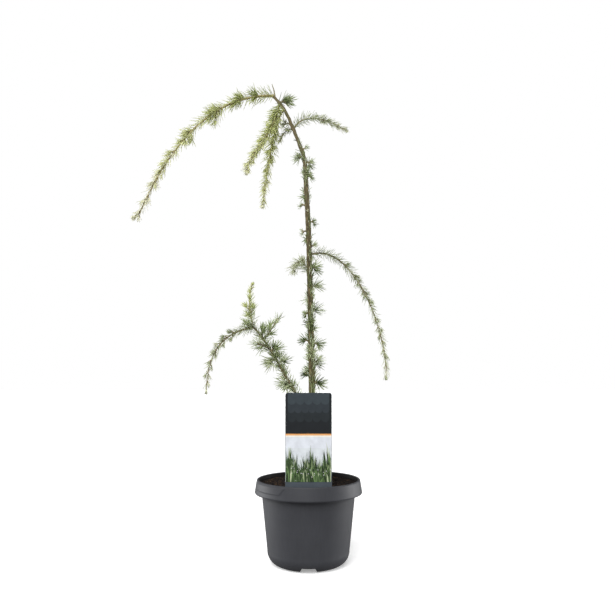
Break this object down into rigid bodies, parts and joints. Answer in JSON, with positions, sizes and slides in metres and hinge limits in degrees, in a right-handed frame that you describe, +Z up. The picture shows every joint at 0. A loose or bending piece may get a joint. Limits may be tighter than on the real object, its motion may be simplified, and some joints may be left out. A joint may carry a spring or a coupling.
{
  "type": "weeping blue atlas cedar in a nursery pot",
  "caption": "Young weeping conifer in a nursery pot: a slim upright stem bent over at the top, arching boughs and hanging shoots with tufts of needles, and a stick-in plant label.",
  "frame": {"origin": "centre of the pot's flat underside", "axes": "+Z up, +X towards the side where the long right-hand pendant hangs, -Y towards the front, where the plant label stands"},
  "size_m": [0.4571, 0.2062, 0.8651],
  "materials": {
    "pot_plastic": "satin moulded polypropylene, charcoal grey",
    "peat": "loose dark brown peat and bark crumbs",
    "label_card": null,
    "bark": "olive-brown bark with shallow furrows and leaf scars",
    "young_bark": "tan bark of young shoots",
    "needles_old": "dark grey-green needles with a waxy bloom",
    "needles_grey": "short grey-green needles",
    "needles_fresh": "fresh yellow-green needles"
  },
  "bodies": {
    "root": {"pot": "pot_plastic", "soil": "peat", "plant_label": "label_card", "trunk": "bark", "crown_tuft": "needles_old", "leader_bough_inner": "young_bark", "leader_bough_middle": "young_bark", "leader_bough_outer": "young_bark", "leader_foliage_inner": "needles_fresh", "leader_foliage_outer": "needles_fresh", "leader_foliage_tip": "needles_fresh", "low_bough": "young_bark", "low_left_foliage": "needles_old", "low_right_foliage": "needles_old", "low_tuft_base": "needles_old", "low_tuft_end": "needles_old", "low_tuft_fork": "needles_old", "low_tuft_lower": "needles_old", "low_tuft_middle": "needles_old", "low_tuft_upper": "needles_old", "low_upright_foliage": "needles_fresh", "low_weeping_bough": "young_bark", "low_weeping_foliage": "needles_fresh", "middle_left_foliage": "needles_grey", "pendant_back_foliage": "needles_fresh", "pendant_front_foliage": "needles_fresh", "right_bough_lower": "young_bark", "right_bough_upper": "young_bark", "right_foliage_lower": "needles_grey", "right_foliage_upper": "needles_grey", "top_left_foliage_lower": "needles_grey", "top_left_foliage_upper": "needles_grey", "top_right_bough": "young_bark", "top_right_foliage": "needles_grey", "trunk_tuft_back_1": "needles_old", "trunk_tuft_back_2": "needles_old", "trunk_tuft_back_3": "needles_old", "trunk_tuft_back_4": "needles_old", "trunk_tuft_back_5": "needles_old", "trunk_tuft_front_1": "needles_old", "trunk_tuft_front_2": "needles_old", "trunk_tuft_front_3": "needles_old", "trunk_tuft_left_1": "needles_old", "trunk_tuft_left_2": "needles_old", "trunk_tuft_left_3": "needles_old", "trunk_tuft_left_4": "needles_old", "trunk_tuft_left_5": "needles_old", "trunk_tuft_left_6": "needles_old", "trunk_tuft_right_1": "needles_old", "trunk_tuft_right_10": "needles_old", "trunk_tuft_right_11": "needles_old", "trunk_tuft_right_2": "needles_old", "trunk_tuft_right_3": "needles_old", "trunk_tuft_right_4": "needles_old", "trunk_tuft_right_5": "needles_old", "trunk_tuft_right_6": "needles_old", "trunk_tuft_right_7": "needles_old", "trunk_tuft_right_8": "needles_old", "trunk_tuft_right_9": "needles_old"}
  },
  "joints": []
}
